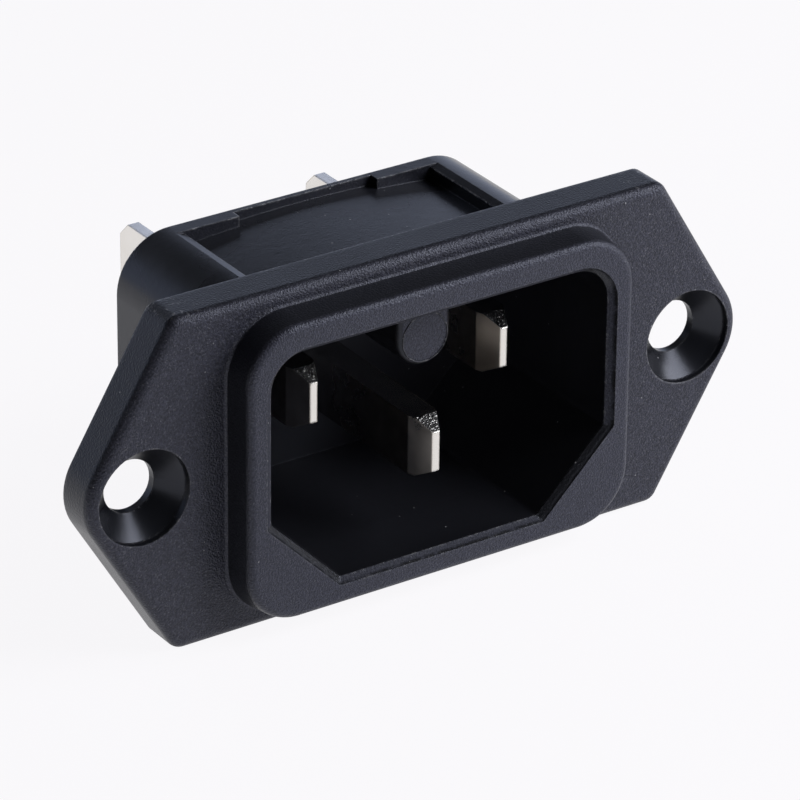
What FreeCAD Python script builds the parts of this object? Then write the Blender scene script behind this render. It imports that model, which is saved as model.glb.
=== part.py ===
import FreeCAD, Part
import math
import os

from FreeCAD import Vector

# A screw-on panel inlet: one moulded housing and three contacts pressed into its rear wall.
# Millimetres. X runs right as seen from the front, Y runs back into the panel and Z runs up.
# The origin lies on the flange's rear face, midway between the two screw holes.

# Flange and its countersunk screw holes
screw_spacing = 40.0
screw_hole_diameter = 3.5
screw_hole_rear_bevel = 0.5
countersink_diameter = 6.3
countersink_lip = 0.45
countersink_angle = 90.0
flange_thickness = 2.9
flange_tip_reach = 3.9
flange_flat_length = 35.7
flange_margin = 1.25
flange_corner_radius = 1.0
flange_edge_round = 0.65

# Socket that takes the connector, keyed by two cut corners
socket_width = 24.6
socket_height = 16.1
socket_depth = 14.85
socket_drop = 0.18
socket_top_radius = 2.4
socket_cut_corner = 5.0
socket_corner_radius = 0.4

# Stepped and bevelled mouth that leads the connector in
mouth_side_lead = 0.5
mouth_end_lead = 0.36
mouth_step = 0.1
mouth_bevel_depth = 0.32

# Raised collar round the socket's mouth
collar_projection = 2.25
collar_side_rim = 1.2
collar_top_rim = 1.57
collar_bottom_rim = 1.33
collar_corner_radius = 3.6
collar_draft = 0.3
collar_edge_round = 0.5
collar_foot_round = 0.2

# Key ridge under the socket's upper wall
ridge_width = 3.8
ridge_height = 4.45
ridge_setback = 2.3
ridge_edge_round = 0.4

# Shell behind the panel, with a shallow recess along its top
side_wall = 1.05
top_wall = 1.7
bottom_wall = 1.3
rear_wall = 1.5
shell_top_radius = 3.75
shell_corner_radius = 1.0
recess_width = 18.2
recess_depth = 1.0
recess_bevel_width = 0.6
recess_bevel_depth = 0.16
recess_crown = 0.45
fence_gap = 10.2
fence_thickness = 1.05
fence_gap_thickness = 0.35

# Terminal bosses on the rear wall
boss_height = 1.5
boss_wall = 0.9
boss_corner_radius = 0.5
seat_depth = 1.5
press_clearance = 0.02

# Contacts: a bevelled pin in front, a shoulder in the boss and a push-on tab behind
pin_pitch = 14.0
pin_rise = 2.1
earth_drop = 4.0
pin_height = 4.0
pin_thickness = 2.0
pin_bevel_length = 1.65
pin_taper_length = 1.2
pin_tip_height = 2.7
pin_tip_thickness = 0.5
pin_tip_round = 0.12
power_pin_setback = 3.85
earth_pin_setback = 0.9
tab_length = 8.2
tab_height = 6.3
tab_thickness = 0.8
tab_offset = 0.5
tab_cut_corner = 1.15
tab_nose_bevel = 0.2
tab_hole_diameter = 1.6
tab_hole_from_end = 4.2

# Places worked out from the sizes above
flange_front = -flange_thickness
collar_front = flange_front - collar_projection
socket_floor = collar_front + socket_depth
shell_rear = socket_floor + rear_wall
boss_rear = shell_rear + boss_height
seat_floor = boss_rear - seat_depth
tab_end = boss_rear + tab_length
socket_top = socket_height / 2 - socket_drop
socket_bottom = socket_top - socket_height
shell_top = socket_top + top_wall
recess_floor = shell_top - recess_depth
collar_half_width = socket_width / 2 + mouth_side_lead + collar_side_rim
collar_top = socket_top + mouth_end_lead + collar_top_rim
collar_bottom = socket_bottom - mouth_end_lead - collar_bottom_rim
flange_half_height = max(collar_top, -collar_bottom) + flange_margin
earth_rise = pin_rise - earth_drop


def outline(corners, y):
    """Closed wire at depth y through corners given as (x, z, rounding radius)."""
    starts, edges_of_arcs, ends = [], [], []
    for index, (x, z, radius) in enumerate(corners):
        corner = Vector(x, y, z)
        last_x, last_z, _ = corners[index - 1]
        next_x, next_z, _ = corners[(index + 1) % len(corners)]
        back = (Vector(last_x, y, last_z) - corner).normalize()
        ahead = (Vector(next_x, y, next_z) - corner).normalize()
        half_angle = back.getAngle(ahead) / 2
        trim = radius / math.tan(half_angle)
        starts.append(corner + back * trim)
        ends.append(corner + ahead * trim)
        if radius > 0:
            middle = corner + (back + ahead).normalize() * (radius / math.sin(half_angle) - radius)
            edges_of_arcs.append(Part.Arc(starts[-1], middle, ends[-1]).toShape())
        else:
            edges_of_arcs.append(None)
    edges = []
    for index, arc in enumerate(edges_of_arcs):
        if arc:
            edges.append(arc)
        line_start, line_end = ends[index], starts[(index + 1) % len(starts)]
        if line_start.distanceToPoint(line_end) > 1e-6:
            edges.append(Part.makeLine(line_start, line_end))
    return Part.Wire(edges)


def prism(corners, front, rear):
    """Solid with the given outline between two depths."""
    return Part.Face(outline(corners, front)).extrude(Vector(0, rear - front, 0))


def block(width, front, rear, bottom, top, middle_x=0.0):
    """Rectangular block centred on middle_x."""
    return Part.makeBox(width, rear - front, top - bottom, Vector(middle_x - width / 2, front, bottom))


def rectangle(half_width, bottom, top, radius, middle_x=0.0):
    """Corners of a rounded rectangle."""
    left, right = middle_x - half_width, middle_x + half_width
    return [(left, bottom, radius), (right, bottom, radius), (right, top, radius), (left, top, radius)]


def keyed_corners(side, top, bottom, top_radius, corner_radius):
    """Corners of the socket's outline, grown outward by the given amounts."""
    half_width = socket_width / 2 + side
    upper = socket_top + top
    lower = socket_bottom - bottom
    cut = socket_cut_corner + (side + bottom) * (1 - math.sqrt(0.5))
    return [
        (half_width, upper, top_radius),
        (-half_width, upper, top_radius),
        (-half_width, lower + cut, corner_radius),
        (-half_width + cut, lower, corner_radius),
        (half_width - cut, lower, corner_radius),
        (half_width, lower + cut, corner_radius),
    ]


def edges_at_depth(shape, y):
    """Edges that lie wholly in the plane at depth y."""
    found = []
    for edge in shape.Edges:
        box = edge.BoundBox
        if max(abs(box.YMin - y), abs(box.YMax - y)) < 1e-4:
            found.append(edge)
    return found


def flange_corners():
    """Six corners of the flange, with tips rounded about the screw holes."""
    half_flat = flange_flat_length / 2
    hole_x = screw_spacing / 2
    run, drop = hole_x - half_flat, flange_half_height
    slope = math.atan2(drop, run) - math.asin(flange_tip_reach / math.hypot(run, drop))
    tip_x = half_flat + drop / math.tan(slope)
    radius = flange_corner_radius
    return [
        (half_flat, flange_half_height, radius),
        (-half_flat, flange_half_height, radius),
        (-tip_x, 0.0, flange_tip_reach),
        (-half_flat, -flange_half_height, radius),
        (half_flat, -flange_half_height, radius),
        (tip_x, 0.0, flange_tip_reach),
    ]


def flange():
    """Flange plate with a softened front edge."""
    plate = prism(flange_corners(), flange_front, 0.0)
    return plate.makeFillet(flange_edge_round, edges_at_depth(plate, flange_front))


def collar_corners(growth):
    """Corners of the collar's outline, grown outward on all sides."""
    radius = collar_corner_radius + growth
    return rectangle(collar_half_width + growth, collar_bottom - growth, collar_top + growth, radius)


def collar():
    """Raised rim round the socket, drawn in towards its softened front."""
    foot = outline(collar_corners(collar_draft), flange_front)
    lip = outline(collar_corners(0.0), collar_front)
    rim = Part.makeLoft([foot, lip], True, True)
    return rim.makeFillet(collar_edge_round, edges_at_depth(rim, collar_front))


def front_plate():
    """Flange and collar as one, with a small round in the corner between them."""
    plate = flange().fuse(collar()).removeSplitter()
    reach = collar_draft + 1e-3
    foot = []
    for edge in edges_at_depth(plate, flange_front):
        box = edge.BoundBox
        within_width = max(-box.XMin, box.XMax) < collar_half_width + reach
        within_height = box.ZMax < collar_top + reach and box.ZMin > collar_bottom - reach
        if within_width and within_height:
            foot.append(edge)
    return plate.makeFillet(collar_foot_round, foot)


def screw_hole(x):
    """Cutter for one countersunk hole: lip, cone, straight bore and a bevel at the rear."""
    rim_radius = countersink_diameter / 2
    bore_radius = screw_hole_diameter / 2
    cone_start = flange_front + countersink_lip
    cone_end = cone_start + (rim_radius - bore_radius) / math.tan(math.radians(countersink_angle / 2))
    profile = [
        (0.0, flange_front - 1.0),
        (rim_radius, flange_front - 1.0),
        (rim_radius, cone_start),
        (bore_radius, cone_end),
        (bore_radius, -screw_hole_rear_bevel),
        (bore_radius + screw_hole_rear_bevel, 0.0),
        (bore_radius + screw_hole_rear_bevel, 1.0),
        (0.0, 1.0),
        (0.0, flange_front - 1.0),
    ]
    wire = Part.makePolygon([Vector(x + radius, y, 0.0) for radius, y in profile])
    return Part.Face(wire).revolve(Vector(x, 0, 0), Vector(0, 1, 0), 360)


def recess_form(rear):
    """Space above the crowned floor of the top recess, bevelled at both ends, back to the given depth."""
    half_width = recess_width / 2
    end_profile = [
        (half_width, recess_floor),
        (half_width, shell_top - recess_bevel_depth),
        (half_width + recess_bevel_width, shell_top),
        (half_width + recess_bevel_width, shell_top + 1.0),
    ]
    right_end = [Vector(x, 0, z) for x, z in end_profile]
    left_end = [Vector(-x, 0, z) for x, z in reversed(end_profile)]
    crown = Part.Arc(left_end[-1], Vector(0, 0, recess_floor + recess_crown), right_end[0]).toShape()
    sides = Part.makePolygon(right_end + left_end)
    return Part.Face(Part.Wire([crown] + sides.Edges)).extrude(Vector(0, rear, 0))


def shell():
    """Body behind the panel, with the shallow top recess and the fence that closes it at the rear."""
    corners = keyed_corners(side_wall, top_wall, bottom_wall, shell_top_radius, shell_corner_radius)
    body = prism(corners, 0.0, shell_rear)
    gap = block(fence_gap, 0.0, shell_rear, recess_floor, shell_top + 1.0)
    recess = recess_form(shell_rear - fence_thickness)
    notch = recess_form(shell_rear - fence_gap_thickness).common(gap)
    return body.cut(recess.fuse(notch))


def socket():
    """Cutter for the keyed socket, with a small step and a bevel at its mouth."""
    throat = keyed_corners(0, 0, 0, socket_top_radius, socket_corner_radius)
    mouth_radius = socket_top_radius + mouth_side_lead
    mouth = keyed_corners(mouth_side_lead, mouth_end_lead, mouth_end_lead, mouth_radius, socket_corner_radius)
    bevel_front = collar_front + mouth_step
    bevel_rear = bevel_front + mouth_bevel_depth
    hollow = prism(throat, collar_front, socket_floor)
    step = prism(mouth, collar_front, bevel_front)
    bevel = Part.makeLoft([outline(mouth, bevel_front), outline(throat, bevel_rear)], True, True)
    return hollow.fuse(step).fuse(bevel)


def key_ridge():
    """Round-bottomed ridge that hangs from the socket's upper wall and runs back to its floor."""
    half_width = ridge_width / 2
    low = socket_top - ridge_height
    root = socket_top + top_wall / 4
    front = collar_front + ridge_setback
    root_corners = [(half_width, root, 0), (-half_width, root, 0)]
    corners = root_corners + [(-half_width, low, half_width), (half_width, low, half_width)]
    ridge = prism(corners, front, socket_floor + rear_wall / 2)
    rounded = [edge for edge in edges_at_depth(ridge, front) if edge.BoundBox.ZMin < socket_top]
    return ridge.makeFillet(ridge_edge_round, rounded)


def tab_middle(rise):
    """Height of a tab's middle: tabs sit a little further from the screw line than their pins."""
    return rise + math.copysign(tab_offset, rise)


def boss(x, rise):
    """Raised boss on the rear wall round one contact."""
    half_width = pin_thickness / 2 + boss_wall
    half_height = tab_height / 2 + boss_wall
    middle = tab_middle(rise)
    corners = rectangle(half_width, middle - half_height, middle + half_height, boss_corner_radius, x)
    return prism(corners, socket_floor, boss_rear)


def contact_seat(x, rise):
    """Cutter for one contact: a slot for the pin and a deeper seat for the shoulder."""
    gap = press_clearance
    width = pin_thickness + 2 * gap
    slot_half = pin_height / 2 + gap
    seat_half = tab_height / 2 + gap
    middle = tab_middle(rise)
    slot = block(width, socket_floor - 1.0, seat_floor, rise - slot_half, rise + slot_half, x)
    seat = block(width, seat_floor, boss_rear + 1.0, middle - seat_half, middle + seat_half, x)
    return slot.fuse(seat)


def housing(places):
    """The whole moulding, open for the connector, the screws and the contacts at the given places."""
    body = front_plate().fuse(shell())
    body = body.cut(socket()).fuse(key_ridge())
    for x, rise in places:
        body = body.fuse(boss(x, rise)).cut(contact_seat(x, rise))
    for x in (-screw_spacing / 2, screw_spacing / 2):
        body = body.cut(screw_hole(x))
    return body.removeSplitter()


def tab(x, middle):
    """Push-on tab with cut corners, a bevelled nose and a latch hole."""
    half_height = tab_height / 2
    corner_y = tab_end - tab_cut_corner
    corner_z = half_height - tab_cut_corner
    profile = [
        (boss_rear, half_height),
        (corner_y, half_height),
        (tab_end, corner_z),
        (tab_end, -corner_z),
        (corner_y, -half_height),
        (boss_rear, -half_height),
        (boss_rear, half_height),
    ]
    left = x - tab_thickness / 2
    wire = Part.makePolygon([Vector(left, y, middle + z) for y, z in profile])
    blade = Part.Face(wire).extrude(Vector(tab_thickness, 0, 0))
    nose = [edge for edge in edges_at_depth(blade, tab_end) if edge.BoundBox.ZLength > corner_z]
    blade = blade.makeChamfer(tab_nose_bevel, nose)
    hole_centre = Vector(left - 1.0, tab_end - tab_hole_from_end, middle)
    hole = Part.makeCylinder(tab_hole_diameter / 2, tab_thickness + 2.0, hole_centre, Vector(1, 0, 0))
    return blade.cut(hole)


def pointed_profile(tip_size, full_size, tip, full):
    """Closed profile of a pin as (offset, y) pairs, narrow at the tip and full from the given depth back."""
    small, large = tip_size / 2, full_size / 2
    one_side = [(small, tip), (large, full), (large, seat_floor)]
    other_side = [(-offset, y) for offset, y in reversed(one_side)]
    return one_side + other_side + one_side[:1]


def pin(x, rise, tip):
    """Flat pin whose blunt tip is tapered in height, bevelled in thickness and softened at its edges."""
    plan = pointed_profile(pin_tip_thickness, pin_thickness, tip, tip + pin_bevel_length)
    side = pointed_profile(pin_tip_height, pin_height, tip, tip + pin_taper_length)
    low = rise - pin_height / 2
    left = x - pin_thickness / 2
    plan_wire = Part.makePolygon([Vector(x + offset, y, low) for offset, y in plan])
    side_wire = Part.makePolygon([Vector(left, y, rise + offset) for offset, y in side])
    plan_form = Part.Face(plan_wire).extrude(Vector(0, 0, pin_height))
    side_form = Part.Face(side_wire).extrude(Vector(pin_thickness, 0, 0))
    blank = plan_form.common(side_form)
    return blank.makeFillet(pin_tip_round, edges_at_depth(blank, tip))


def contact(x, rise, setback):
    """One contact in a single piece, its pin tip set back from the collar's face."""
    middle = tab_middle(rise)
    half_height = tab_height / 2
    shoulder = block(pin_thickness, seat_floor, boss_rear, middle - half_height, middle + half_height, x)
    front = pin(x, rise, collar_front + setback)
    return front.fuse(shoulder).fuse(tab(x, middle)).removeSplitter()


def main():
    power_x = pin_pitch / 2
    places = [(-power_x, pin_rise), (power_x, pin_rise), (0.0, earth_rise)]
    parts = {
        "housing": housing(places),
        "line_contact": contact(-power_x, pin_rise, power_pin_setback),
        "neutral_contact": contact(power_x, pin_rise, power_pin_setback),
        "earth_contact": contact(0.0, earth_rise, earth_pin_setback),
    }
    os.makedirs("parts", exist_ok=True)
    for name, shape in parts.items():
        shape.exportStep("parts/" + name + ".step")


main()
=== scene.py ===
import math
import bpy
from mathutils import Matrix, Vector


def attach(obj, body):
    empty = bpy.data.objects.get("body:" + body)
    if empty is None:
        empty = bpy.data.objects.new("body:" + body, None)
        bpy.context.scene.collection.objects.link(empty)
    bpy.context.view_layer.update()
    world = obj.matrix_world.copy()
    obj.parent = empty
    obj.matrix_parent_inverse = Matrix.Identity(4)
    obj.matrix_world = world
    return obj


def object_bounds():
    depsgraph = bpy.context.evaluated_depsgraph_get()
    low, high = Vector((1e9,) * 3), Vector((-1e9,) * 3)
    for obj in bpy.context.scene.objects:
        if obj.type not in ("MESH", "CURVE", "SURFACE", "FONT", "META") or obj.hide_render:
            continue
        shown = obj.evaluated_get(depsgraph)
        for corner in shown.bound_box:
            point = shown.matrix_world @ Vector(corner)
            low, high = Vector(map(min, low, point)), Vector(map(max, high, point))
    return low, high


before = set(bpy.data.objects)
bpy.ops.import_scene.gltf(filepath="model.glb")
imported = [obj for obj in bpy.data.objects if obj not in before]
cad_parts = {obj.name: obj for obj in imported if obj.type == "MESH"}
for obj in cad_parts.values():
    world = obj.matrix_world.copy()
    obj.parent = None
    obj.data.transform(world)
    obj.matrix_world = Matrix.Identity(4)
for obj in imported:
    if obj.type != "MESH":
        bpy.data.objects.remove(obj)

from types import SimpleNamespace

import bmesh
import bpy
from mathutils import Matrix, Vector

# Looks of the panel inlet: moulded black plastic and nickel-plated contacts on a white studio floor.
# Metres, in the frame of the CAD model: X right as seen from the front, Y back, Z up.
cad_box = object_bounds()
MM = 0.001

# Camera, found by fitting a pinhole view to the photograph
camera_azimuth = math.radians(-34.04)
camera_elevation = math.radians(27.07)
camera_roll = math.radians(0.63)
camera_distance = 331.3 * MM
camera_target = Vector((0.15 * MM, 0.0, -0.25 * MM))
camera_lens = 241.95
camera_clip = 10 * MM
sensor_width = 36.0

# Light: a soft box up on the right in front, a weaker one behind, a dim room
room_level = 0.068
room_colour = (0.95, 0.97, 1.0)
lamp_colour = (0.94, 0.95, 1.0)
key_place = Vector((0.15, -0.10, 0.12))
key_size = 0.15
key_power = 0.49
fill_place = Vector((0.0, 0.42, 0.045))
fill_size = 0.10
fill_power = 0.30

# Stage: a wide floor and a low backdrop, both of paper that mostly glows by itself
floor_half_size = 3.0
backdrop_distance = 0.6
backdrop_height = 0.36
backdrop_half_width = 1.2
paper_glow = 0.93
paper_albedo = 0.92
floor_colour = (0.99, 0.98, 1.0)
backdrop_colour = (0.70, 0.78, 1.0)

# Places on the part that the materials follow, with the socket's half sizes just outside its mouth
screw_hole_x = 20.0 * MM
countersink_radius = 3.15 * MM
flange_top = cad_box[1][2]
flange_corner_x = 17.85 * MM
flange_front = -2.9 * MM
flange_back = 0.0
collar_front = cad_box[0][1]
mouth_step = collar_front + 0.1 * MM
mouth_rear = collar_front + 0.5 * MM
socket_half_width = 12.85 * MM
socket_half_height = 8.46 * MM
socket_middle = -0.18 * MM
socket_floor = collar_front + 14.85 * MM
pin_root = 9.0 * MM

# Where the looks of the plastic change, each from a first place to a second one
mask_soft = 0.05 * MM
rim_to_socket = (collar_front + 0.03 * MM, collar_front + 0.07 * MM)
wall_to_shell = (4.0 * MM, 5.0 * MM)
grain_fade = (flange_front + 0.7 * MM, flange_front + 1.7 * MM)
# span over which the painted shade in the step just inside the mouth fades
step_shade_fade = (mouth_step + 0.04 * MM, mouth_step + 0.14 * MM)
rim_rub_fade = (collar_front + 0.02 * MM, collar_front + 0.20 * MM)
brim_rise = (flange_top - 0.25 * MM, flange_top - 0.05 * MM)
knock_fade = (0.5 * MM, 3.0 * MM)

# Plain ring on the face of the key ridge
ridge_face = -2.85 * MM
ridge_middle = 5.32 * MM
ring_radius = 1.62 * MM
ring_bead = 0.05 * MM
ring_steps = 96
bead_steps = 10

# Black plastic: features a metre of each pattern, relief, shine and colours
grain_scale = 8500
painted_glint_scale = 9500
wave_scale = 1500
cloud_scale = 130
chip_scale = 3600
scuff_scale = 2600
speck_scale = 700
grain_height = 0.065 * MM
wave_share = 0.12
plastic_edge = 0.09 * MM
wear_reach = 0.22 * MM
corner_reach = 0.3 * MM
mouth_grain = 0.65
satin_roughness = 0.25
grain_roughness = 0.38
uneven_roughness = 0.04
flange_dullness = 0.16
socket_dullness = 0.09
bevel_roughness = 0.75
cut_roughness = 0.3
mould_line_roughness = 1.0
hole_roughness = (0.25, 0.31)
plastic_specular = 0.42
plastic_tint = (0.82, 0.86, 1.0)
grain_dark = (0.015, 0.0152, 0.0213)
grain_light = (0.047, 0.048, 0.068)
# painted glints: light flecks on the grain, standing in for it catching the lamp
painted_glint_colour = (0.15, 0.15, 0.17)
rubbed_colour = (0.070, 0.075, 0.11)
satin_dark = (0.006, 0.0064, 0.0085)
satin_light = (0.011, 0.0117, 0.0155)
socket_dark = (0.006, 0.0063, 0.0082)
socket_light = (0.009, 0.0094, 0.012)
# painted light: paler deep in the socket, standing in for light that hardly reaches there
socket_painted_light = (0.030, 0.031, 0.039)
# painted shade: near-black line in the small step just inside the mouth
step_shade_colour = (0.001, 0.001, 0.0015)
# painted shade: the cut corners of the mouth darker than the plastic around them
cut_corner_painted_shade = (0.005, 0.005, 0.0065)
wear_colour = (0.34, 0.34, 0.35)
speck_colour = (0.35, 0.35, 0.36)

# Nickel plate: features a metre of each pattern, relief, shine and colours
patch_scale = 700
crumb_scale = 8000
line_scale = 9000
line_stretch = 0.08
line_share = 0.02
torn_height = 0.12 * MM
plate_edge = 0.18 * MM
plate_roughness = (0.14, 0.24)
rubbed_dullness = 0.16
plate_dark = (0.70, 0.67, 0.62)
plate_light = (0.84, 0.82, 0.79)
brass_colour = (0.72, 0.60, 0.40)
rubbed_dark = (0.33, 0.29, 0.25)
rubbed_light = (0.58, 0.54, 0.50)
torn_dark = (0.06, 0.06, 0.06)
torn_light = (0.70, 0.69, 0.67)


def new_tree(material):
    """Empty node tree of a material, with its output node."""
    material.use_nodes = True
    tree = material.node_tree
    tree.nodes.clear()
    return tree, tree.nodes.new("ShaderNodeOutputMaterial")


def principled(tree, output):
    """Principled shader joined to the output."""
    shader = tree.nodes.new("ShaderNodeBsdfPrincipled")
    tree.links.new(shader.outputs["BSDF"], output.inputs["Surface"])
    return shader


def noise(tree, coordinates, scale, detail, roughness=0.5):
    """Noise texture with so many features a metre."""
    node = tree.nodes.new("ShaderNodeTexNoise")
    node.inputs["Scale"].default_value = scale
    node.inputs["Detail"].default_value = detail
    node.inputs["Roughness"].default_value = roughness
    tree.links.new(coordinates, node.inputs["Vector"])
    return node.outputs["Fac"]


def cells(tree, coordinates, scale):
    """Distance to the nearest point of a fixed scatter of points."""
    node = tree.nodes.new("ShaderNodeTexVoronoi")
    node.inputs["Scale"].default_value = scale
    tree.links.new(coordinates, node.inputs["Vector"])
    return node.outputs["Distance"]


def remap(tree, value, low, high, to_low, to_high):
    """Value carried from one range to another, held at both ends."""
    node = tree.nodes.new("ShaderNodeMapRange")
    node.inputs["From Min"].default_value = low
    node.inputs["From Max"].default_value = high
    node.inputs["To Min"].default_value = to_low
    node.inputs["To Max"].default_value = to_high
    tree.links.new(value, node.inputs["Value"])
    return node.outputs["Result"]


def feed(tree, socket, value):
    """Number set on a socket, or another socket linked to it."""
    if isinstance(value, (int, float)):
        socket.default_value = value
    else:
        tree.links.new(value, socket)


def maths(tree, operation, first, second):
    """One arithmetic step on two values or sockets."""
    node = tree.nodes.new("ShaderNodeMath")
    node.operation = operation
    feed(tree, node.inputs[0], first)
    feed(tree, node.inputs[1], second)
    return node.outputs["Value"]


def plus(tree, first, second):
    """Sum of two values."""
    return maths(tree, "ADD", first, second)


def times(tree, first, second):
    """Product of two values."""
    return maths(tree, "MULTIPLY", first, second)


def larger(tree, first, second):
    """The larger of two values."""
    return maths(tree, "MAXIMUM", first, second)


def unsigned(tree, value):
    """Value without its sign."""
    return maths(tree, "ABSOLUTE", value, 0.0)


def between(tree, amount, low, high):
    """Value between two values, by an amount from nought to one."""
    node = tree.nodes.new("ShaderNodeMix")
    tree.links.new(amount, node.inputs["Factor"])
    feed(tree, node.inputs["A"], low)
    feed(tree, node.inputs["B"], high)
    return node.outputs["Result"]


def blend(tree, amount, low, high):
    """Colour between two colours or colour sockets, by an amount from nought to one."""
    node = tree.nodes.new("ShaderNodeMixRGB")
    tree.links.new(amount, node.inputs["Fac"])
    for socket, colour in ((node.inputs["Color1"], low), (node.inputs["Color2"], high)):
        if isinstance(colour, tuple):
            socket.default_value = (*colour, 1.0)
        else:
            tree.links.new(colour, socket)
    return node.outputs["Color"]


def axes(tree, vector):
    """The three coordinates of a vector, each as a socket."""
    node = tree.nodes.new("ShaderNodeSeparateXYZ")
    tree.links.new(vector, node.inputs["Vector"])
    return node.outputs["X"], node.outputs["Y"], node.outputs["Z"]


def facing(tree, normal, direction):
    """How squarely a surface faces a direction of the part's own frame."""
    node = tree.nodes.new("ShaderNodeVectorMath")
    node.operation = "DOT_PRODUCT"
    node.inputs[1].default_value = direction
    tree.links.new(normal, node.inputs[0])
    return node.outputs["Value"]


def rounded_normal(tree, radius):
    """Normal that runs softly over sharp edges."""
    node = tree.nodes.new("ShaderNodeBevel")
    node.samples = 4
    node.inputs["Radius"].default_value = radius
    return node.outputs["Normal"]


def near_edge(tree, rounded):
    """One on sharp edges, where the rounded normal departs from the true one, nought on flats."""
    flat = tree.nodes.new("ShaderNodeNewGeometry")
    alike = tree.nodes.new("ShaderNodeVectorMath")
    alike.operation = "DOT_PRODUCT"
    tree.links.new(rounded, alike.inputs[0])
    tree.links.new(flat.outputs["Normal"], alike.inputs[1])
    return remap(tree, alike.outputs["Value"], 0.85, 0.998, 1.0, 0.0)


def open_corner(tree, distance):
    """One on flats and outward corners, nought in inward ones."""
    node = tree.nodes.new("ShaderNodeAmbientOcclusion")
    node.samples = 4
    node.only_local = True
    node.inputs["Distance"].default_value = distance
    return remap(tree, node.outputs["AO"], 0.70, 0.95, 0.0, 1.0)


def bump(tree, height, distance, normal):
    """Bump from a height socket on top of a normal; distance in metres."""
    node = tree.nodes.new("ShaderNodeBump")
    node.inputs["Distance"].default_value = distance
    tree.links.new(height, node.inputs["Height"])
    tree.links.new(normal, node.inputs["Normal"])
    return node.outputs["Normal"]


def near_screw_hole(tree, x, z):
    """One inside the two countersunk holes, nought outside them."""
    across = maths(tree, "SUBTRACT", unsigned(tree, x), screw_hole_x)
    square = plus(tree, times(tree, across, across), times(tree, z, z))
    radius = maths(tree, "SQRT", square, 0.0)
    inside = countersink_radius - 0.05 * MM
    outside = countersink_radius + 0.03 * MM
    return remap(tree, radius, inside, outside, 1.0, 0.0)


def within_socket(tree, x, y, z, normal):
    """One on the walls, floor and mouth of the socket, nought on the outside of the shell."""
    offset = maths(tree, "SUBTRACT", z, socket_middle)
    across = remap(tree, unsigned(tree, x), socket_half_width, socket_half_width + mask_soft, 1.0, 0.0)
    upward = remap(tree, unsigned(tree, offset), socket_half_height, socket_half_height + mask_soft, 1.0, 0.0)
    behind_rim = remap(tree, y, *rim_to_socket, 0.0, 1.0)
    before_wall = remap(tree, y, socket_floor + mask_soft, socket_floor + 2 * mask_soft, 1.0, 0.0)
    normal_x, _, normal_z = axes(tree, normal)
    outward = plus(tree, times(tree, normal_x, x), times(tree, normal_z, offset))
    inward = remap(tree, outward, *wall_to_shell, 1.0, 0.0)
    opening = times(tree, times(tree, across, upward), inward)
    return times(tree, opening, times(tree, behind_rim, before_wall))


def turned_aslant(tree, normal):
    """One on faces turned both sideways and up or down, as at the cut corners, nought on the rest."""
    sideways = facing(tree, normal, (1, 0, 0))
    upward = facing(tree, normal, (0, 0, 1))
    return remap(tree, unsigned(tree, times(tree, sideways, upward)), 0.06, 0.14, 0.0, 1.0)


def grained_share(tree, zones, ahead):
    """How much spark-eroded grain a place has: all in front, little on the sides, none in the holes."""
    outer = remap(tree, ahead, 0.15, 0.60, 0.12, 1.0)
    outer = times(tree, outer, remap(tree, zones.y, *grain_fade, 1.0, 0.3))
    inner = remap(tree, ahead, 0.90, 0.98, 0.0, 1.0)
    inner = times(tree, inner, remap(tree, zones.y, *grain_fade, 1.0, 0.0))
    inner = larger(tree, inner, times(tree, zones.mouth, mouth_grain))
    return between(tree, zones.hole, between(tree, zones.socket, outer, inner), 0.0)


def painted_step_shade(tree, zones):
    """One on the ragged line just inside the mouth, where the two halves of the mould met; it carries the
    painted shade in the step there.
    """
    ragged = remap(tree, zones.waves, 0.40, 0.54, 0.25, 1.0)
    near_step = remap(tree, zones.y, *step_shade_fade, 1.0, 0.0)
    return times(tree, times(tree, near_step, zones.socket), times(tree, zones.slanted, ragged))


def plastic_zones(tree):
    """Coordinates and patterns on the housing, and masks for the places that look different."""
    place = tree.nodes.new("ShaderNodeTexCoord")
    normal = place.outputs["Normal"]
    ahead = facing(tree, normal, (0, -1, 0))
    zones = SimpleNamespace(where=place.outputs["Object"])
    zones.x, zones.y, zones.z = axes(tree, zones.where)
    zones.grain = noise(tree, zones.where, grain_scale, 1.0)
    zones.waves = noise(tree, zones.where, wave_scale, 3.0)
    zones.cloud = noise(tree, zones.where, cloud_scale, 4.0)
    zones.hole = near_screw_hole(tree, zones.x, zones.z)
    zones.socket = within_socket(tree, zones.x, zones.y, zones.z, normal)
    zones.mouth = remap(tree, zones.y, mouth_rear - mask_soft, mouth_rear, 1.0, 0.0)
    zones.lead = times(tree, zones.socket, zones.mouth)
    zones.slanted = remap(tree, ahead, 0.85, 0.95, 1.0, 0.0)
    zones.cut = times(tree, turned_aslant(tree, normal), zones.lead)
    zones.parting = painted_step_shade(tree, zones)
    zones.flange = remap(tree, zones.y, flange_back - 0.2 * MM, flange_back + 0.1 * MM, 0.5, 0.1)
    zones.grained = grained_share(tree, zones, ahead)
    return zones


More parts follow.
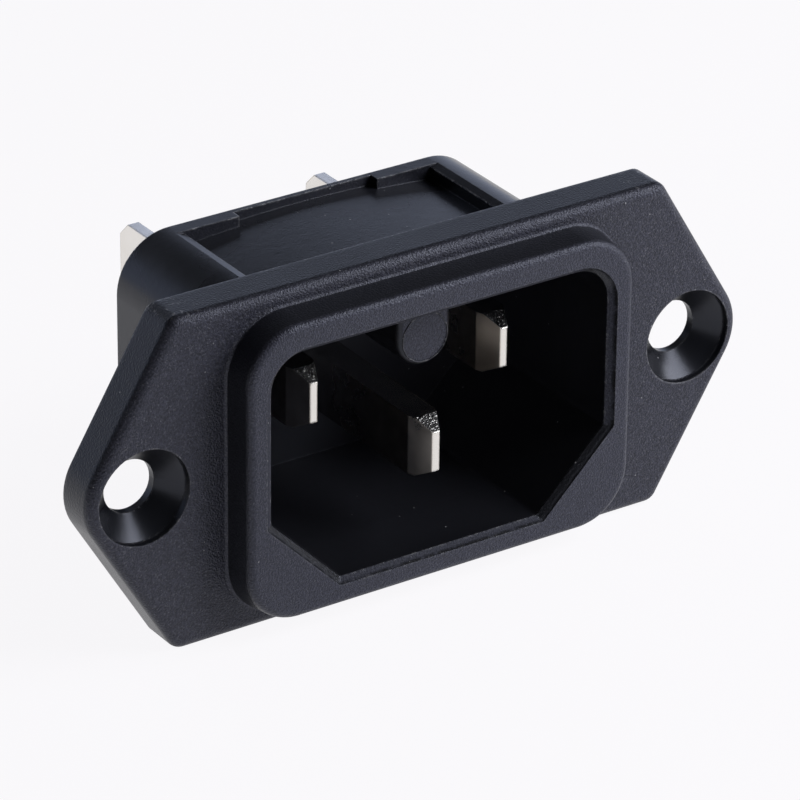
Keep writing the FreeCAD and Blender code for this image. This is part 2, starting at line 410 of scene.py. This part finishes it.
def plastic_colour(tree, zones):
    """Colour before wear: grained in front with painted glints, satin behind, dark in the mouth, paler deep
    in the socket from painted light, with painted shade in the step inside the mouth and on its cut corners.
    """
    grained = blend(tree, remap(tree, zones.grain, 0.30, 0.70, 0.0, 1.0), grain_dark, grain_light)
    # Painted glints: light flecks painted into the grain colour, standing in for the grain catching the lamp
    painted_glints = remap(tree, noise(tree, zones.where, painted_glint_scale, 0.0), 0.66, 0.78, 0.0, 0.45)
    grained = blend(tree, painted_glints, grained, painted_glint_colour)
    rubbed = remap(tree, zones.y, *rim_rub_fade, 0.12, 0.0)
    grained = blend(tree, rubbed, grained, rubbed_colour)
    satin = blend(tree, zones.cloud, satin_dark, satin_light)
    moulded = blend(tree, zones.cloud, socket_dark, socket_light)
    # Painted light: the socket's colour pales the deeper it goes, standing in for light that hardly reaches
    # there
    depth = remap(tree, zones.y, mouth_rear, socket_floor, 0.0, 1.0)
    moulded = blend(tree, depth, moulded, socket_painted_light)
    surface = blend(tree, zones.grained, blend(tree, zones.socket, satin, moulded), grained)
    # Painted shade: a ragged near-black line in the small step just inside the mouth
    surface = blend(tree, zones.parting, surface, step_shade_colour)
    # Painted shade: the mouth's cut corners made darker
    return blend(tree, zones.cut, surface, cut_corner_painted_shade)


def edge_wear(tree, zones):
    """Rubbing and chips along sharp outward edges, less at the mouth and its cut corners."""
    edge = near_edge(tree, rounded_normal(tree, wear_reach))
    edge = times(tree, edge, open_corner(tree, corner_reach))
    edge = times(tree, edge, remap(tree, zones.cut, 0.0, 1.0, 1.0, 0.1))
    edge = times(tree, edge, remap(tree, zones.y, mouth_step, mouth_rear, 0.35, 1.0))
    chips = remap(tree, noise(tree, zones.where, chip_scale, 2.0), 0.55, 0.61, 0.0, 0.85)
    rubbing = remap(tree, zones.waves, 0.45, 0.65, 0.05, 0.4)
    return times(tree, edge, larger(tree, rubbing, chips))


def corner_scuffs(tree, zones):
    """Scuffs where the flange's four corners get knocked."""
    brim = remap(tree, unsigned(tree, zones.z), *brim_rise, 0.0, 1.0)
    off_corner = maths(tree, "SUBTRACT", unsigned(tree, zones.x), flange_corner_x)
    knocked = remap(tree, unsigned(tree, off_corner), *knock_fade, 1.0, 0.0)
    scuffs = remap(tree, noise(tree, zones.where, scuff_scale, 3.0, 0.6), 0.58, 0.66, 0.0, 0.45)
    return times(tree, brim, times(tree, knocked, scuffs))


def plastic_roughness(tree, zones):
    """Satin sides, duller grain, dull bevel round the mouth, smooth cut corners and screw holes."""
    uneven = remap(tree, zones.cloud, 0.3, 0.7, -uneven_roughness, uneven_roughness)
    roughness = plus(tree, remap(tree, zones.grained, 0.0, 1.0, satin_roughness, grain_roughness), uneven)
    roughness = plus(tree, roughness, times(tree, zones.flange, flange_dullness))
    roughness = plus(tree, roughness, times(tree, zones.socket, socket_dullness))
    roughness = between(tree, times(tree, zones.lead, zones.slanted), roughness, bevel_roughness)
    roughness = between(tree, zones.cut, roughness, cut_roughness)
    roughness = between(tree, zones.parting, roughness, mould_line_roughness)
    return between(tree, zones.hole, roughness, remap(tree, zones.cloud, 0.3, 0.7, *hole_roughness))


def black_plastic():
    """Black moulded plastic: spark-eroded grain in front, satin behind, smooth in socket and holes."""
    material = bpy.data.materials.new("black_plastic")
    tree, output = new_tree(material)
    shader = principled(tree, output)
    zones = plastic_zones(tree)

    worn = larger(tree, edge_wear(tree, zones), corner_scuffs(tree, zones))
    colour = blend(tree, worn, plastic_colour(tree, zones), wear_colour)
    specks = remap(tree, cells(tree, zones.where, speck_scale), 0.030, 0.042, 0.7, 0.0)
    tree.links.new(blend(tree, specks, colour, speck_colour), shader.inputs["Base Color"])
    tree.links.new(plastic_roughness(tree, zones), shader.inputs["Roughness"])
    shader.inputs["Specular IOR Level"].default_value = plastic_specular
    shader.inputs["Specular Tint"].default_value = (*plastic_tint, 1.0)

    smooth = larger(tree, zones.socket, zones.hole)
    eroded = between(tree, smooth, larger(tree, zones.grained, zones.flange), zones.grained)
    height = plus(tree, times(tree, zones.grain, eroded), times(tree, zones.waves, wave_share))
    relief = bump(tree, height, grain_height, rounded_normal(tree, plastic_edge))
    tree.links.new(relief, shader.inputs["Normal"])
    return material


def drawn_lines(tree, where):
    """Fine lines along the metal, from drawing it through a die."""
    stretched = tree.nodes.new("ShaderNodeMapping")
    stretched.inputs["Scale"].default_value = (1.0, line_stretch, 1.0)
    tree.links.new(where, stretched.inputs["Vector"])
    return noise(tree, stretched.outputs["Vector"], line_scale, 3.0)


def nickel_plate():
    """Bright nickel over brass, rubbed on the pins' sides, torn where their tapers were sheared."""
    material = bpy.data.materials.new("nickel_plate")
    tree, output = new_tree(material)
    shader = principled(tree, output)
    place = tree.nodes.new("ShaderNodeTexCoord")
    where = place.outputs["Object"]
    y = axes(tree, where)[1]
    patches = noise(tree, where, patch_scale, 4.0)
    crumbs = noise(tree, where, crumb_scale, 2.0, 0.6)
    upright = unsigned(tree, facing(tree, place.outputs["Normal"], (0, 0, 1)))
    sideways = unsigned(tree, facing(tree, place.outputs["Normal"], (1, 0, 0)))
    sloping = remap(tree, upright, 0.60, 0.80, 0.0, 1.0)
    sheared = times(tree, sloping, remap(tree, upright, 0.93, 0.97, 1.0, 0.0))
    in_socket = remap(tree, y, 0.0, pin_root, 1.0, 0.0)
    rubbed = times(tree, remap(tree, sideways, 0.75, 0.95, 0.0, 1.0), in_socket)
    rounded = rounded_normal(tree, plate_edge)

    metal = blend(tree, patches, plate_dark, plate_light)
    worn = times(tree, near_edge(tree, rounded), remap(tree, patches, 0.5, 0.7, 0.0, 0.6))
    metal = blend(tree, worn, metal, brass_colour)
    metal = blend(tree, rubbed, metal, blend(tree, patches, rubbed_dark, rubbed_light))
    torn = blend(tree, remap(tree, crumbs, 0.56, 0.64, 0.0, 1.0), torn_dark, torn_light)
    tree.links.new(blend(tree, sheared, metal, torn), shader.inputs["Base Color"])
    shader.inputs["Metallic"].default_value = 1.0
    roughness = remap(tree, patches, 0.3, 0.7, *plate_roughness)
    roughness = plus(tree, roughness, times(tree, rubbed, rubbed_dullness))
    tree.links.new(roughness, shader.inputs["Roughness"])
    height = plus(tree, times(tree, drawn_lines(tree, where), line_share), times(tree, crumbs, sheared))
    tree.links.new(bump(tree, height, torn_height, rounded), shader.inputs["Normal"])
    return material


def studio_paper(name, colour):
    """Pale paper that keeps its colour to the eye and in reflections, and a soft shadow."""
    material = bpy.data.materials.new(name)
    tree, output = new_tree(material)
    diffuse = tree.nodes.new("ShaderNodeBsdfDiffuse")
    diffuse.inputs["Color"].default_value = (*[paper_albedo * value for value in colour], 1.0)
    glow = tree.nodes.new("ShaderNodeEmission")
    glow.inputs["Color"].default_value = (*colour, 1.0)
    glow.inputs["Strength"].default_value = 1.0
    path = tree.nodes.new("ShaderNodeLightPath")
    seen = larger(tree, path.outputs["Is Camera Ray"], path.outputs["Is Glossy Ray"])
    seen = larger(tree, seen, path.outputs["Is Transmission Ray"])
    mix = tree.nodes.new("ShaderNodeMixShader")
    tree.links.new(times(tree, seen, paper_glow), mix.inputs["Fac"])
    tree.links.new(diffuse.outputs["BSDF"], mix.inputs[1])
    tree.links.new(glow.outputs["Emission"], mix.inputs[2])
    tree.links.new(mix.outputs["Shader"], output.inputs["Surface"])
    return material


def dress_nodes(plastic, plate):
    """Plating on the three contacts, and plastic on the housing."""
    for name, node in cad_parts.items():
        node.data.materials.clear()
        node.data.materials.append(plastic if name == "housing" else plate)


def add_ridge_ring(plastic):
    """Plain raised ring on the face of the key ridge."""
    mesh = bpy.data.meshes.new("ridge_ring")
    shape = bmesh.new()
    rings = []
    for step in range(ring_steps):
        angle = 2 * math.pi * step / ring_steps
        ring = []
        for turn in range(bead_steps):
            tilt = 2 * math.pi * turn / bead_steps
            reach = ring_radius + ring_bead * math.cos(tilt)
            depth = ridge_face + ring_bead * math.sin(tilt)
            height = ridge_middle + reach * math.sin(angle)
            ring.append(shape.verts.new((reach * math.cos(angle), depth, height)))
        rings.append(ring)
    for ring, following in zip(rings, rings[1:] + rings[:1]):
        for turn in range(bead_steps):
            beside = (turn + 1) % bead_steps
            shape.faces.new((ring[turn], following[turn], following[beside], ring[beside]))
    bmesh.ops.recalc_face_normals(shape, faces=shape.faces)
    for face in shape.faces:
        face.smooth = True
    shape.to_mesh(mesh)
    shape.free()
    mesh.materials.append(plastic)
    piece = bpy.data.objects.new("ridge_ring", mesh)
    bpy.context.scene.collection.objects.link(piece)
    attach(piece, "root")


def add_sheet(name, corners, material):
    """Flat four-cornered piece of the stage."""
    mesh = bpy.data.meshes.new(name)
    mesh.from_pydata(corners, [], [(0, 1, 2, 3)])
    mesh.materials.append(material)
    sheet = bpy.data.objects.new(name, mesh)
    bpy.context.scene.collection.objects.link(sheet)


def add_stage():
    """Floor under the flange's lower edge, larger than the camera can see, and a low backdrop behind."""
    low = cad_box[0][2]
    half = floor_half_size
    ground = [(-half, -half, low), (half, -half, low), (half, half, low), (-half, half, low)]
    add_sheet("floor", ground, studio_paper("white_paper", floor_colour))
    side, back, top = backdrop_half_width, backdrop_distance, backdrop_height
    screen = [(-side, back, low), (side, back, low), (side, back, top), (-side, back, top)]
    add_sheet("backdrop", screen, studio_paper("pale_blue_paper", backdrop_colour))


def add_soft_box(name, place, size, power):
    """Square lamp that points at the part."""
    lamp = bpy.data.lights.new(name, "AREA")
    lamp.shape = "SQUARE"
    lamp.size = size
    lamp.energy = power
    lamp.color = lamp_colour
    box = bpy.data.objects.new(name, lamp)
    box.location = place
    box.rotation_euler = (-place).to_track_quat("-Z", "Y").to_euler()
    box.visible_camera = False
    bpy.context.scene.collection.objects.link(box)


def add_lights():
    """Dim even room and two soft boxes."""
    world = bpy.data.worlds.new("studio")
    bpy.context.scene.world = world
    world.use_nodes = True
    background = world.node_tree.nodes["Background"]
    background.inputs["Color"].default_value = (*room_colour, 1.0)
    background.inputs["Strength"].default_value = room_level
    add_soft_box("key", key_place, key_size, key_power)
    add_soft_box("fill", fill_place, fill_size, fill_power)


def add_camera():
    """Camera where the photograph was taken from."""
    flat = math.cos(camera_elevation)
    across = math.sin(camera_azimuth) * flat
    ahead = -math.cos(camera_azimuth) * flat
    back = Vector((across, ahead, math.sin(camera_elevation)))
    level = Vector((math.cos(camera_azimuth), math.sin(camera_azimuth), 0.0))
    right = level * math.cos(camera_roll) + back.cross(level) * math.sin(camera_roll)
    up = back.cross(right)
    data = bpy.data.cameras.new("camera")
    data.sensor_width = sensor_width
    data.lens = camera_lens
    data.clip_start = camera_clip
    camera = bpy.data.objects.new("camera", data)
    turn = Matrix((right, up, back)).transposed().to_4x4()
    camera.matrix_world = Matrix.Translation(camera_target + back * camera_distance) @ turn
    bpy.context.scene.collection.objects.link(camera)
    bpy.context.scene.camera = camera


bpy.context.scene.view_settings.view_transform = "Standard"
black = black_plastic()
dress_nodes(black, nickel_plate())
add_ridge_ring(black)
add_stage()
add_lights()
add_camera()
